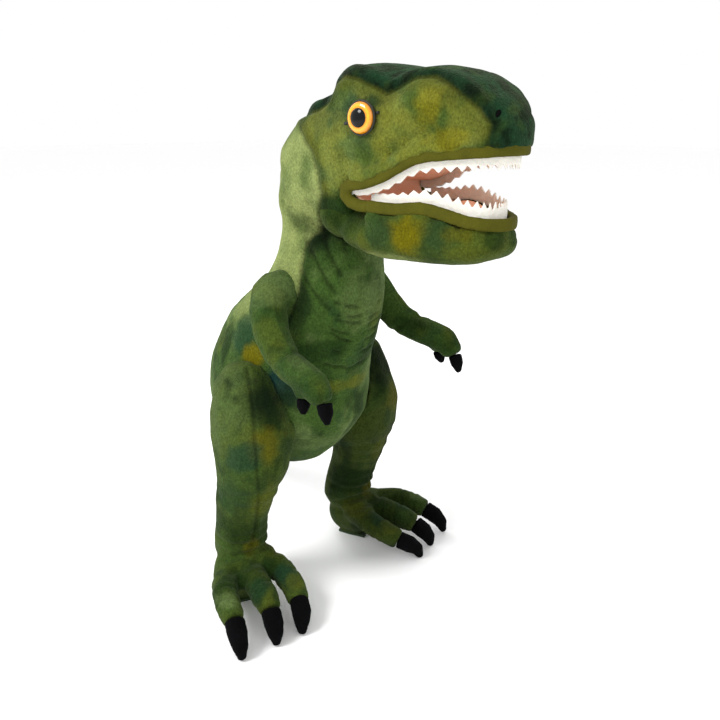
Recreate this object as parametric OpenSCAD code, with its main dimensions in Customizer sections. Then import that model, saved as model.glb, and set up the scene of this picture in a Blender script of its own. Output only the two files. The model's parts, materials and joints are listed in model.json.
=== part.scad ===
// Stuffed dinosaur: a standing two-legged plush toy, about 0.48 m tall.
// It faces -Y, +Z is up and +X is its own left side. Every skin is a cut panel of
// pile fabric over a fibre filling, and the face has felt teeth and domed eyes.

/* [Fabric] */
// Thickness of the pile fabric with its backing
skin_t = 2.5; // [1.5:0.1:4]
// Thickness of the felt and lining cloth in the mouth
felt_t = 1.5; // [0.8:0.1:2]
// Slack left between two pieces of one sewn body
slack = 0.3; // [0.2:0.05:0.4]

/* [Torso] */
// Half width of the torso as a part of its depth
torso_narrow = 0.92; // [0.8:0.01:1]
// Rings between two stations of the torso
torso_steps = 2; // [1:1:3]

/* [Head] */
// Radius of the rounded neck end that the head nods on
neck_end_r = 43; // [38:1:44]
// Clearance between the neck end and its pocket in the head
neck_clear = 1; // [0.6:0.1:2]
// Height of the smooth lip bands
lip_h = 9.5; // [6:0.5:10]
// Thickness of the lip bands from cheek to mouth
lip_t = 6; // [4:0.5:8]

/* [Teeth] */
// Number of teeth in the upper felt strip
upper_count = 36; // [16:1:44]
// Number of teeth in the lower felt strip
lower_count = 34; // [16:1:44]
// Height of the tallest upper tooth
upper_tooth_h = 9.5; // [5:0.5:12]
// Height of the tallest lower tooth
lower_tooth_h = 11.5; // [5:0.5:13]

// How far the strip runs down to the notches between teeth, as a part of their height
tooth_root = 0.42; // [0.1:0.02:0.6]

/* [Eyes] */
// Radius of the amber dome
eye_r = 11; // [8:0.5:13]
// Height of the amber dome
eye_h = 5.5; // [3:0.5:7]
// Radius of the black pupil
pupil_r = 6.8; // [3:0.2:8]
// Radius of the stem that the washer locks on
stem_r = 2.2; // [1.5:0.1:3]
// Radius of the lock washer behind the skin
washer_r = 9; // [7:0.5:11]

/* [Claws] */
// Half width of a foot claw at its base
foot_claw_r = 9; // [7:0.5:10]
// Half width of a hand claw at its base
hand_claw_r = 6.5; // [5:0.5:7.5]

/* [Label] */
// Width of the blank care label
label_w = 22; // [15:1:30]
// Length of the blank care label outside the seam
label_l = 38; // [25:1:50]

/* [Hidden] */

// The design is laid out with the ankles near y = 0. This moves it so that the
// origin is under the middle of the whole toy.
origin_shift = [0, 36.4, 0];
leaf = "#4f7a34";
dark = "#27502f";
olive = "#8a9440";
pale = "#9aa86a";
rose = "#e79a86";
felt = "#f4f1ea";
black = "#151515";
amber = "#d99a1c";
fill = "#f2f2ee";

torso_n = 24;
head_n = 24;
jaw_n = 18;
limb_n = 12;
toe_n = 8;
tail_n = 16;
sole_z = 2;
sole_from = 2;
sole_to = 5;
sole_part = 0.45;

// Torso and neck stations: y, z, radius, and how far the ring leans forward
torso_table = [
    [-25, 117, 4, 8], [-24, 121, 24, 10], [-22, 130, 45, 12], [-21, 146, 61, 14],
    [-26, 171, 76, 15], [-36, 200, 81, 20], [-50, 235, 74, 28], [-69, 261, 63, 33],
    [-86, 290, 55, 22], [-93, 325, 48.5, 5], [-93, 346, 44, 6]
];
// The point that the head nods about, and the lean of the head seam
nod_at = [0, -84, 384];
head_lean = 51;

// Skull stations behind the mouth corner: y, top z, bottom z, half width, lean
skull_table = [[-104, 444, 350, 48, 70], [-130, 468, 354, 50, 86], [-146, 476, 358, 50, 90]];
// Skull and snout stations over the mouth: y, top z, half width
snout_table = [
    [-151, 475, 50], [-172, 473, 49], [-195, 470, 46], [-218, 473, 43], [-238, 470, 39],
    [-254, 463, 35], [-266, 454, 28], [-275, 443, 19], [-280, 433, 8]
];
// How square the head and jaw sections are: 1 is an ellipse, and less is squarer
head_square = 0.74;
// Where the snout starts to turn round towards the nose, and how fast
round_from = -225;
round_rate = 0.005;
jaw_square = 0.8;
// Outline of the upper mouth edge, from the left corner to the nose
upper_edge = [
    [49, -158], [48, -172], [45, -192], [41.5, -215], [37.5, -237], [32, -256], [23, -270], [10, -278]
];
// Height of the upper mouth edge along it, as y and z
upper_edge_z = [[-158, 386], [-172, 387], [-192, 394], [-215, 406], [-237, 409.5], [-280, 413]];

// Jaw stations: y, top z, bottom z, half width
jaw_table = [
    [-162, 371, 346, 36], [-164, 371, 334, 45], [-180, 370, 333, 46], [-200, 370, 334, 44],
    [-220, 371, 334, 41], [-238, 367, 335, 37], [-254, 363, 338, 31], [-265, 361, 342, 24],
    [-270, 360, 346, 15], [-273, 358, 350, 5]
];
// Outline of the lower mouth edge, from the left corner to the chin
lower_edge = [
    [45.5, -173], [45, -183], [42.5, -200], [39, -219], [34.5, -238], [28, -254], [19, -266], [8, -271.5]
];
// Height of the lower mouth edge along it, as y and z
lower_edge_z = [[-173, 380], [-200, 379], [-219, 381], [-238, 377.5], [-254, 373], [-272, 370.5]];

// Arm path of the left arm: x, y, z, radius
arm_table = [
    [46, -76, 301, 17], [58, -79, 296, 17.5], [67, -85, 284, 16.5], [73, -95, 268, 15.5],
    [77, -109, 255, 14.3], [81, -126, 247.5, 13], [83.5, -143, 244, 12.8], [85, -158, 240, 12.3],
    [85.5, -166, 231.5, 10], [85.6, -168, 228.5, 7.5]
];
finger_table = [[86, -147, 240, 9], [87.5, -147.5, 233, 8.5], [88, -148, 228, 6.5]];
// The shoulder that the arm swings about, and the size of the block that trims the root
shoulder_at = [56, -80, 297];
root_block = 120;
hand_claw_paths = [
    [[85.7, -168.4, 228.1, 1], [86.2, -171, 220.5, 0.95], [87, -173, 212, 0.35]],
    [[88, -148.2, 227.6, 0.9], [89.3, -149, 222, 0.85], [91, -150.5, 216, 0.35]]
];

// Leg path of the left leg: x, y, z, radius
leg_table = [
    [66, -50, 235, 5], [66, -51, 231, 18], [67, -53, 216, 30], [69, -57, 194, 35.5], [69, -62, 168, 39.5],
    [73, -63, 142, 35], [76, -57, 116, 28.5], [77, -49, 90, 25], [75, -43, 66, 25],
    [74, -39, 46, 25], [73, -38, 32, 16]
];
// Foot path from heel to toes: x, y, z, half width, half height
foot_table = [
    [72, -20, 24, 4, 5], [73, -23, 24, 15, 14], [75, -31, 25, 21, 21], [79, -42, 27, 25, 25],
    [84, -52, 28, 28, 26], [87, -60, 28, 29, 22], [89, -66, 27, 27, 15], [90, -69, 26, 20, 7]
];
toe_tables = [
    [[107, -58, 30, 14], [122, -76, 33, 12.2], [129.5, -91, 29, 11.8], [133.5, -103, 25, 10.2]],
    [[86, -60, 32, 14], [91, -83, 33, 13], [97, -101, 29, 12.8], [102, -114, 24, 10.5]],
    [[67, -56, 38, 15], [61, -84, 32, 12.5], [65, -104, 26, 12], [71, -117, 20, 10.5]]
];
foot_claw_paths = [
    [[133.7, -103.3, 24.8, 1], [138.5, -113, 19, 1], [141.5, -120, 11, 0.78], [142.5, -123, 1, 0.35]],
    [[102.1, -114.3, 23.8, 1], [106.5, -123, 17, 1], [109, -128, 10, 0.78], [110, -130, 1, 0.35]],
    [[71.1, -117.3, 19.8, 1], [77, -127, 15.5, 1], [82.5, -133, 10, 0.78], [85, -136, 1, 0.35]]
];

// The root that the tail sways about
tail_at = [26, 66, 122];
// Where the label leaves the seam, and its thickness
label_at = [-19, 42, 134];
label_t = 0.8;
// Tail path: x, y, z, radius
tail_table = [
    [11, 40, 136, 3], [13, 43, 134, 16], [18, 52, 129, 27], concat(tail_at, [31.5]),
    [41, 92, 102, 29], [60, 120, 76, 24], [82, 149, 46, 19], [104, 176, 22, 14.5],
    [118, 193, 11, 10.5], [127, 203, 7, 6], [129, 206, 6, 2]
];

// ---- Curves and rings -------------------------------------------------------

function unit(v) = v / norm(v);
function flat(rows) = [for (r = rows) each r];
function row(t, i) = t[max(0, min(len(t) - 1, i))];
function spline(a, b, c, d, t) =
    0.5 * (2 * b + (c - a) * t + (2 * a - 5 * b + 4 * c - d) * t * t + (3 * b - a - 3 * c + d) * t * t * t);
// Adds smooth rows between the rows of a table
function refine(t, steps) = [
    for (i = [0:len(t) - 2], s = [0:steps - 1])
        spline(row(t, i - 1), row(t, i), row(t, i + 1), row(t, i + 2), s / steps),
    t[len(t) - 1]
];
function squared(v, p) = sign(v) * pow(abs(v), p);

// A ring about a centre: i = 0 lies along side, a quarter turn on lies along up
function ring(c, side, up, w, high, low, n, p = 1) = [
    for (i = [0:n - 1])
        let (u = squared(cos(360 * i / n), p), v = squared(sin(360 * i / n), p))
            c + side * w * u + up * (v > 0 ? high : low) * v
];
function lean_up(lean) = [0, cos(lean), sin(lean)];

// Rings along a free path of rows x, y, z, half width and half height
function path_rings(t, n, ref) = [
    for (k = [0:len(t) - 1])
        let (
            a = row(t, k - 1),
            b = row(t, k + 1),
            dir = unit([b[0] - a[0], b[1] - a[1], b[2] - a[2]]),
            side = unit(cross(dir, ref)),
            up = cross(side, dir),
            r = t[k],
            h = len(r) > 4 ? r[4] : r[3]
        )
            ring([r[0], r[1], r[2]], side, up, r[3], h, h, n)
];

function middle(r) = [for (p = r) 1] * r / len(r);
function backward(list) = [for (i = [len(list) - 1:-1:0]) list[i]];
// 1 if the rings turn left about the way that they run, else -1
function turning(rings) =
    let (
        k = floor(len(rings) / 2),
        r = rings[k],
        c = middle(r),
        n = len(r),
        areas = [for (i = [0:n - 1]) cross(r[i] - c, r[(i + 1) % n] - c)]
    )
        sign(middle(areas) * (middle(rings[k + 1]) - middle(rings[k - 1])));
function turned(rings) = turning(rings) > 0 ? rings : backward(rings);

// Moves every ring point inward along the surface by t
function inset(rings, t) =
    let (m = len(rings) - 1, n = len(rings[0]), way = turning(rings)) [
        for (k = [0:m]) [
            for (i = [0:n - 1])
                let (
                    along = rings[min(m, k + 1)][i] - rings[max(0, k - 1)][i],
                    round = rings[k][(i + 1) % n] - rings[k][(i + n - 1) % n]
                )
                    rings[k][i] - unit(cross(round, along)) * way * t
        ]
    ];
function lifted(rings, z) = [for (r = rings) [for (p = r) [p[0], p[1], max(p[2], z)]]];

// Two triangles for each cell of a grid of points, with rows and columns
function grid(rows, cols, start, flip) = [
    for (k = [0:rows - 2], i = [0:cols - 2])
        let (a = start + k * cols + i, b = a + 1, c = b + cols, d = a + cols)
            each flip ? [[a, b, c], [a, c, d]] : [[a, c, b], [a, d, c]]
];
// The same for a grid that closes round on itself
function tube(rows, n, start, flip) = [
    for (k = [0:rows - 2], i = [0:n - 1])
        let (a = start + k * n + i, b = start + k * n + (i + 1) % n, c = b + n, d = a + n)
            each flip ? [[a, b, c], [a, c, d]] : [[a, c, b], [a, d, c]]
];

// A closed solid through rings, with a fan at each end
module loft(path) {
    rings = turned(path);
    m = len(rings);
    n = len(rings[0]);
    foot = m * n;
    faces = concat(
        tube(m, n, 0, false),
        [for (i = [0:n - 1]) [foot, i, (i + 1) % n]],
        [for (i = [0:n - 1]) [foot + 1, (m - 1) * n + (i + 1) % n, (m - 1) * n + i]]
    );
    polyhedron(concat(flat(rings), [middle(rings[0]), middle(rings[m - 1])]), faces);
}

// A skin between outer and inner rings, open at both ends
module shell(outer_path, inner_path) {
    outer = turned(outer_path);
    inner = turning(outer_path) > 0 ? inner_path : backward(inner_path);
    m = len(outer);
    n = len(outer[0]);
    all = m * n;
    rim = function(k, flip) [
        for (i = [0:n - 1])
            let (a = k * n + i, b = k * n + (i + 1) % n)
                each flip ? [[a, b, b + all], [a, b + all, a + all]] : [[a, b + all, b], [a, a + all, b + all]]
    ];
    faces = concat(tube(m, n, 0, false), tube(m, n, all, true), rim(0, true), rim(m - 1, false));
    polyhedron(concat(flat(outer), flat(inner)), faces);
}

// One cut panel of a skin: the columns from i0 to i1 of its rings
module panel(outer_path, inner_path, i0, i1) {
    outer = turned(outer_path);
    inner = turning(outer_path) > 0 ? inner_path : backward(inner_path);
    m = len(outer);
    n = len(outer[0]);
    cols = i1 - i0 + 1;
    cut = function(rings) [for (r = rings, i = [i0:i1]) r[(i + n) % n]];
    slab(cut(outer), cut(inner), m, cols);
}

// A closed solid between two grids of points that lie face to face
module slab(outer, inner, m, cols) {
    all = m * cols;
    edge = function(list, flip) [
        for (j = [0:len(list) - 2])
            let (a = list[j], b = list[j + 1])
                each flip ? [[a, b, b + all], [a, b + all, a + all]] : [[a, b + all, b], [a, a + all, b + all]]
    ];
    first = [for (i = [0:cols - 1]) i];
    last = [for (i = [0:cols - 1]) (m - 1) * cols + i];
    left = [for (k = [0:m - 1]) k * cols];
    right = [for (k = [0:m - 1]) k * cols + cols - 1];
    faces = concat(
        grid(m, cols, 0, false), grid(m, cols, all, true),
        edge(first, true), edge(last, false), edge(left, false), edge(right, true)
    );
    polyhedron(concat(outer, inner), faces);
}

module to_frame() {
    translate(origin_shift) children();
}
module mirrored(side) {
    mirror([side < 0 ? 1 : 0, 0, 0]) children();
}

// ---- Torso ------------------------------------------------------------------

seam_up = lean_up(head_lean);
seam_out = [0, -sin(head_lean), cos(head_lean)];
neck_end_w = neck_end_r - 4;

function torso_ring(r) =
    let (up = -lean_up(r[3]))
        ring([0, r[0], r[1]], [1, 0, 0], up, r[2] * torso_narrow, r[2], r[2], torso_n);
// Rings of a rounded end about the nod point, from the seam plane outward
function neck_dome(r, w, angles) = [
    for (a = angles)
        ring(nod_at + seam_out * r * sin(a), [1, 0, 0], -seam_up, w * cos(a), r * cos(a), r * cos(a), torso_n)
];
torso_rings = concat(
    [for (r = refine(torso_table, torso_steps)) torso_ring(r)],
    neck_dome(neck_end_r, neck_end_w, [-20, 0, 22, 44, 66, 84])
);
torso_inner = inset(torso_rings, skin_t);

// Columns of the torso rings: 6 is the middle of the belly and 18 of the back
module back_panel() {
    color(pale) to_frame() panel(torso_rings, torso_inner, 15, 21);
}
module torso_side(side) {
    i0 = side > 0 ? -3 : 9;
    color(leaf) to_frame() panel(torso_rings, torso_inner, i0, i0 + 6);
}
module belly_panel() {
    color(olive) to_frame() panel(torso_rings, torso_inner, 3, 9);
}
module torso_stuffing() {
    color(fill) to_frame() loft(inset(torso_rings, skin_t + slack));
}
// The torso grown by a clearance, to cut what is sewn against it
module torso_space(clear) {
    loft(inset(torso_rings, -clear));
}

// ---- Head -------------------------------------------------------------------

function roundness(y) = min(1, head_square + max(0, round_from - y) * round_rate);
function skull_ring(r) =
    let (c = (r[1] + r[2]) / 2, h = (r[1] - r[2]) / 2, up = lean_up(r[4]))
        ring([0, r[0], c], [1, 0, 0], -up, r[3], h, h, head_n, roundness(r[0]));
head_first = ring(nod_at, [1, 0, 0], -seam_up, 45, 47.5, 50, head_n);
head_rings = concat(
    [head_first],
    [for (r = skull_table) skull_ring(r)],
    [for (r = snout_table) skull_ring([r[0], r[1], upper_z(r[0]) + lip_h + 1, r[2], 90])]
);
head_inner = inset(head_rings, skin_t);
pocket_r = neck_end_r + neck_clear;
pocket_w = neck_end_w + neck_clear;

// The crown runs over columns 15 to 21 of the head rings, round the top
module crown_panel() {
    color(dark) to_frame() panel(head_rings, head_inner, 15, 21);
}
module cheek(side) {
    i0 = side > 0 ? -3 : 6;
    color(leaf) to_frame() panel(head_rings, head_inner, i0, i0 + 9);
}
module head_stuffing() {
    pocket = [
        for (a = [84, 66, 44, 22, 4])
            ring(nod_at + seam_out * pocket_r * sin(a), [1, 0, 0], -seam_up,
                pocket_w * cos(a), pocket_r * cos(a), pocket_r * cos(a), head_n)
    ];
    color(fill) to_frame() loft(concat(pocket, inset(head_rings, skin_t + slack)));
}

// ---- Mouth ------------------------------------------------------------------

// A mouth edge mirrored round the nose, as one smooth row of x and y
function mouth_path(edge, steps) =
    let (
        nose = [0, edge[len(edge) - 1][1] - 1.5],
        far_side = [for (p = backward(edge)) [-p[0], p[1]]]
    )
        refine(concat(edge, [nose], far_side), steps);
function height_at(table, y) = lookup(-y, [for (p = refine(table, 4)) [-p[0], p[1]]]);
function upper_z(y) = height_at(upper_edge_z, y);
function lower_z(y) = height_at(lower_edge_z, y);
// The direction from a mouth edge into the mouth
function inward(path, k) =
    let (d = row(path, k + 1) - row(path, k - 1)) unit([-d[1], d[0], 0] * -1);

// A band along a mouth edge: depths from d0 to d1 into the mouth, heights z0 to z1
module band(path, height, d0, d1, z0, z1) {
    rings = [
        for (k = [0:len(path) - 1])
            let (n = inward(path, k), p = [path[k][0], path[k][1], height(path[k][1])])
                [for (c = [[d0, z0], [d0, z1], [d1, z1], [d1, z0]]) p + n * c[0] + [0, 0, c[1]]]
    ];
    loft(rings);
}
// A felt strip cut to a zigzag: teeth from the strip's edge, lower near the corners
module tooth_strip(path, height, count, depth, root, reach) {
    m = len(path) - 1;
    at = function(u)
        let (k = min(m - 1, floor(u * m)), f = u * m - k) path[k] * (1 - f) + path[k + 1] * f;
    steps = 2 * count;
    rings = [
        for (s = [0:steps])
            let (
                u = s / steps,
                k = round(u * m),
                n = inward(path, k),
                q = at(u),
                grow = 0.15 + 0.85 * pow(sin(180 * u), 0.6),
                tip = (s % 2 == 1 ? reach * grow : reach * tooth_root),
                p = [q[0], q[1], height(q[1])]
            )
                [p + n * depth + [0, 0, root], p + n * depth + [0, 0, tip],
                 p + n * (depth + felt_t) + [0, 0, tip], p + n * (depth + felt_t) + [0, 0, root]]
    ];
    loft(rings);
}
draw_back = 40;
tip_w = 4;
// A lining sheet across the mouth, held at a depth and height inside a mouth edge
module lining(edge, height, depth, z, arch) {
    cols = 6;
    path = refine(edge, 2);
    // The sheet draws back from the front edge, gradually from the corner on
    back = function(y) y + depth * min(1, (edge[0][1] - y) / draw_back);
    top = function(t) [
        for (p = path)
            [for (i = [0:cols])
                let (u = 2 * i / cols - 1, w = max(tip_w, p[0] - depth))
                    [w * u, back(p[1]), height(back(p[1])) + z + arch * (1 - u * u) + t]]
    ];
    slab(flat(top(0)), flat(top(felt_t)), len(path), cols + 1);
}

module upper_lip() {
    path = mouth_path(upper_edge, 2);
    color(olive) to_frame() band(path, function(y) upper_z(y), 0, lip_t, 0, lip_h);
}
module palate_lining() {
    color(rose) to_frame()
        lining(upper_edge, function(y) upper_z(y), lip_t + felt_t + 2 * slack + 1, 4, 2);
}
module upper_teeth() {
    path = mouth_path(upper_edge, 3);
    color(felt) to_frame()
        tooth_strip(path, function(y) upper_z(y), upper_count, lip_t + slack, 3.5, -upper_tooth_h);
}

// ---- Jaw --------------------------------------------------------------------

function jaw_ring(r) =
    let (c = (r[1] + r[2]) / 2, h = (r[1] - r[2]) / 2)
        ring([0, r[0], c], [1, 0, 0], [0, 0, -1], r[3], h, h, jaw_n, jaw_square);
jaw_rings = [for (r = jaw_table) jaw_ring(r)];

module jaw_skin() {
    color(leaf) to_frame() shell(jaw_rings, inset(jaw_rings, skin_t));
}
module jaw_stuffing() {
    color(fill) to_frame() loft(inset(jaw_rings, skin_t + slack));
}
module lower_lip() {
    path = mouth_path(lower_edge, 2);
    color(olive) to_frame() band(path, function(y) lower_z(y), 0, lip_t, -lip_h, 0);
}
module mouth_floor_lining() {
    color(rose) to_frame()
        lining(lower_edge, function(y) lower_z(y), lip_t + felt_t + 2 * slack + 3, -6, -1);
}
module lower_teeth() {
    path = mouth_path(lower_edge, 3);
    color(felt) to_frame()
        tooth_strip(path, function(y) lower_z(y), lower_count, lip_t + 2, -3.5, lower_tooth_h);
}

// ---- Eyes and nostrils ------------------------------------------------------

eye_at = [49.6, -174, 438];
eye_turn = [0, 90, -6];
eye_ball_r = (eye_r * eye_r + eye_h * eye_h) / (2 * eye_h);
stem_l = 14;
washer_depth = 9;
nostril_at = [20.5, -270.5, 441];
nostril_r = 3;

module at_eye(side) {
    to_frame() mirrored(side) translate(eye_at)
        rotate([0, 0, eye_turn[2]]) rotate([0, eye_turn[1], 0]) children();
}
// A slice of a ball that stands h above its base plane
module dome(ball_r, r, h) {
    intersection() {
        translate([0, 0, h - ball_r]) sphere(r = ball_r, $fn = 48);
        cylinder(r = r, h = h + 1, $fn = 48);
    }
}
module eye(side) {
    color(amber) at_eye(side) difference() {
        union() {
            dome(eye_ball_r, eye_r, eye_h);
            translate([0, 0, -stem_l]) cylinder(r = stem_r, h = stem_l + 1, $fn = 32);
        }
        translate([0, 0, 1]) cylinder(r = pupil_r + 0.05, h = eye_h, $fn = 48);
    }
}
module pupil(side) {
    color(black) at_eye(side) translate([0, 0, 1.02]) intersection() {
        translate([0, 0, eye_h - eye_ball_r - 0.9]) sphere(r = eye_ball_r, $fn = 48);
        cylinder(r = pupil_r, h = eye_h, $fn = 48);
    }
}
module eye_washer(side) {
    color(fill) at_eye(side) translate([0, 0, -washer_depth]) difference() {
        cylinder(r = washer_r, h = 1.6, $fn = 32);
        translate([0, 0, -1]) cylinder(r = stem_r + 0.05, h = 4, $fn = 32);
    }
}
module nostrils() {
    color(black) to_frame() for (side = [-1, 1])
        mirrored(side) translate(nostril_at) rotate([0, 0, -40]) rotate([0, 90, 0])
            cylinder(r = nostril_r, h = 1.5, $fn = 24);
}

// ---- Arms -------------------------------------------------------------------

arm_outer = path_rings(arm_table, limb_n, [0, -1, 0.3]);
finger_outer = path_rings(finger_table, toe_n, [0, -1, 0.3]);

module arm_solid(t) {
    loft(inset(arm_outer, t));
    loft(inset(finger_outer, t));
}
module arm_root_cut() {
    translate(shoulder_at - [root_block, root_block, root_block] / 2)
        translate([-root_block / 2, 0, 0]) cube([root_block, root_block, root_block]);
}
module arm_skin(side) {
    color(leaf) to_frame() mirrored(side) difference() {
        arm_solid(0);
        arm_solid(skin_t);
        arm_root_cut();
    }
}
module arm_stuffing(side) {
    color(fill) to_frame() mirrored(side) difference() {
        arm_solid(skin_t + slack);
        arm_root_cut();
    }
}
module hand_claws(side) {
    color(black) to_frame() mirrored(side) for (path = hand_claw_paths)
        loft(path_rings([for (p = path) [p[0], p[1], p[2], p[3] * hand_claw_r]], toe_n, [0, -1, 0]));
}

// ---- Legs and feet ----------------------------------------------------------

leg_outer = path_rings(leg_table, limb_n, [0, -1, 0]);
foot_outer = path_rings(foot_table, limb_n, [0, 0, 1]);
toe_outers = [for (t = toe_tables) path_rings(t, toe_n, [0, 0, 1])];
bag_at = [79, -48, 22];
bag_r = 14;
bag_h = 16;

module leg_solid(t, floor_z) {
    loft(inset(leg_outer, t));
    loft(lifted(inset(foot_outer, t), floor_z));
    for (r = toe_outers) loft(inset(r, t));
}
module leg_skin(side) {
    color(leaf) to_frame() mirrored(side) difference() {
        leg_solid(0, sole_z + slack);
        leg_solid(skin_t, sole_z + slack + skin_t);
        torso_space(0.3);
    }
}
module bag(grow) {
    translate(bag_at) cylinder(r = bag_r + grow, h = bag_h + 2 * grow, center = true, $fn = 32);
}
module leg_stuffing(side) {
    color(fill) to_frame() mirrored(side) difference() {
        leg_solid(skin_t + slack, sole_z + skin_t + 2 * slack);
        torso_space(0.6);
        bag(slack);
    }
}
module pellet_bag(side) {
    color(pale) to_frame() mirrored(side) bag(0);
}
function sole_point(r, out) = [r[0] + r[3] * out, r[1] + r[3] * out / 2];
module sole(side) {
    color(dark) to_frame() mirrored(side) linear_extrude(height = sole_z)
        polygon([
            for (k = [sole_from:sole_to]) sole_point(foot_table[k], -sole_part),
            for (k = [sole_to:-1:sole_from]) sole_point(foot_table[k], sole_part)
        ]);
}
module foot_claws(side) {
    color(black) to_frame() mirrored(side) for (path = foot_claw_paths)
        loft(lifted(path_rings([for (p = path) [p[0], p[1], p[2], p[3] * foot_claw_r]], limb_n, [0, 0, 1]), 0));
}

// ---- Tail and label ---------------------------------------------------------

tail_outer = path_rings(tail_table, tail_n, [0, 0, 1]);

module tail_skin() {
    color(leaf) to_frame() shell(lifted(tail_outer, 0), lifted(inset(tail_outer, skin_t), skin_t));
}
module tail_stuffing() {
    color(fill) to_frame() loft(lifted(inset(tail_outer, skin_t + slack), skin_t + slack));
}
module care_label() {
    color(felt) to_frame() translate(label_at) rotate([2, 0, 12])
        translate([-label_w / 2, 0, -label_l]) cube([label_w, label_t, label_l]);
}

back_panel();
torso_side(1);  // torso_side_left
torso_side(-1);  // torso_side_right
belly_panel();
torso_stuffing();
crown_panel();
cheek(1);  // cheek_left
cheek(-1);  // cheek_right
head_stuffing();
upper_lip();
palate_lining();
upper_teeth();
jaw_skin();
jaw_stuffing();
lower_lip();
mouth_floor_lining();
lower_teeth();
eye(1);  // eye_left
eye(-1);  // eye_right
pupil(1);  // pupil_left
pupil(-1);  // pupil_right
eye_washer(1);  // eye_washer_left
eye_washer(-1);  // eye_washer_right
nostrils();
arm_skin(1);  // arm_skin_left
arm_skin(-1);  // arm_skin_right
arm_stuffing(1);  // arm_stuffing_left
arm_stuffing(-1);  // arm_stuffing_right
hand_claws(1);  // hand_claws_left
hand_claws(-1);  // hand_claws_right
leg_skin(1);  // leg_skin_left
leg_skin(-1);  // leg_skin_right
leg_stuffing(1);  // leg_stuffing_left
leg_stuffing(-1);  // leg_stuffing_right
sole(1);  // sole_left
sole(-1);  // sole_right
pellet_bag(1);  // pellet_bag_left
pellet_bag(-1);  // pellet_bag_right
foot_claws(1);  // foot_claws_left
foot_claws(-1);  // foot_claws_right
tail_skin();
tail_stuffing();
care_label();
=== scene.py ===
"""The looks of a standing plush dinosaur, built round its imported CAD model.

Lengths are metres in the CAD frame. Places are offsets in millimetres from the pivots
and pieces of the CAD model, so that they follow it.
"""

import json
import math

import bmesh
import bpy
import numpy as np
from mathutils import Matrix, Vector, noise
from mathutils.bvhtree import BVHTree


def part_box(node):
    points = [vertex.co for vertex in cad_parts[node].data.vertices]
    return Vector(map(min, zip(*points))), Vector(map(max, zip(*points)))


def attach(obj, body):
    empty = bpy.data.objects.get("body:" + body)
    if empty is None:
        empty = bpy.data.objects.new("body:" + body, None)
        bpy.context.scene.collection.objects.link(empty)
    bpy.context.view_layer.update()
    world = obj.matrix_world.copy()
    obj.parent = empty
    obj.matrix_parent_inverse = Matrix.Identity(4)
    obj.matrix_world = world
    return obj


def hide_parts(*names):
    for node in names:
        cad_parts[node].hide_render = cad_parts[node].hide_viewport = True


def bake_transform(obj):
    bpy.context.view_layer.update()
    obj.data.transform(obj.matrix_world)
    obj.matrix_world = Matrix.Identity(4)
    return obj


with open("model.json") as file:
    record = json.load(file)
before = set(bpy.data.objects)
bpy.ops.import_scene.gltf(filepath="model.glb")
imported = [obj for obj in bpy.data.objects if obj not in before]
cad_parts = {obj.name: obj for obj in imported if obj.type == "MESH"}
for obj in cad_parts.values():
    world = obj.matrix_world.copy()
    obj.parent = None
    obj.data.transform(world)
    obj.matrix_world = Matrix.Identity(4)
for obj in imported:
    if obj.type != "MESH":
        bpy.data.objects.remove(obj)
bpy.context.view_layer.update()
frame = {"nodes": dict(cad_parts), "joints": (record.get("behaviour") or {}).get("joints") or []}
MM = 0.001
SIDES = (("left", 1), ("right", -1))
scene = bpy.context.scene


# ---- Places taken from the frame ------------------------------------------------------

def pivot(name):
    joint = next(j for j in frame["joints"] if j["name"] == name)
    return Vector(joint["pos_m"])


def middle(node):
    low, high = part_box(node)
    return (low + high) / 2


def off(origin, x, y, z, side=1):
    """The point x, y, z millimetres from origin, mirrored for the right side."""
    return Vector(origin) + Vector((x * side, y, z)) * MM


NECK = pivot("head_nod")
JAW = pivot("jaw_open")
TAIL = pivot("tail_sway")
SHOULDER = {name: pivot("arm_swing_" + name) for name, _ in SIDES}
EYE = {name: middle("eye_" + name) for name, _ in SIDES}
# The middle of the sole, for places on a leg or foot
FOOT = {name: middle("sole_" + name) for name, _ in SIDES}


# ---- Camera, light and floor ----------------------------------------------------------

CAMERA_AT = (-0.4709, -0.5218, 0.4377)
CAMERA_TURN = math.radians(-47.557)
CAMERA_DIP = math.radians(17.646)
LENS_MM = 38
LIGHTS_AIM = Vector((0, 0, 0.25))
FLOOR_SIZE = 12
# Just under the soles, so that no face lies in another
FLOOR_Z = -0.0004


def make_camera():
    data = bpy.data.cameras.new("camera")
    data.lens = LENS_MM
    data.sensor_width = 36
    data.clip_start = 0.01
    camera = bpy.data.objects.new("camera", data)
    scene.collection.objects.link(camera)
    flat = math.cos(CAMERA_DIP)
    back = Vector((math.sin(CAMERA_TURN) * flat, -math.cos(CAMERA_TURN) * flat, math.sin(CAMERA_DIP)))
    camera.location = CAMERA_AT
    camera.rotation_mode = "QUATERNION"
    camera.rotation_quaternion = (-back).to_track_quat("-Z", "Y")
    scene.camera = camera


def make_light(name, place, size, watts):
    data = bpy.data.lights.new(name, "AREA")
    data.shape = "DISK"
    data.size = size
    data.energy = watts
    light = bpy.data.objects.new(name, data)
    light.location = place
    light.rotation_mode = "QUATERNION"
    aim = LIGHTS_AIM - Vector(place)
    light.rotation_quaternion = aim.to_track_quat("-Z", "Y")
    scene.collection.objects.link(light)


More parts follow.
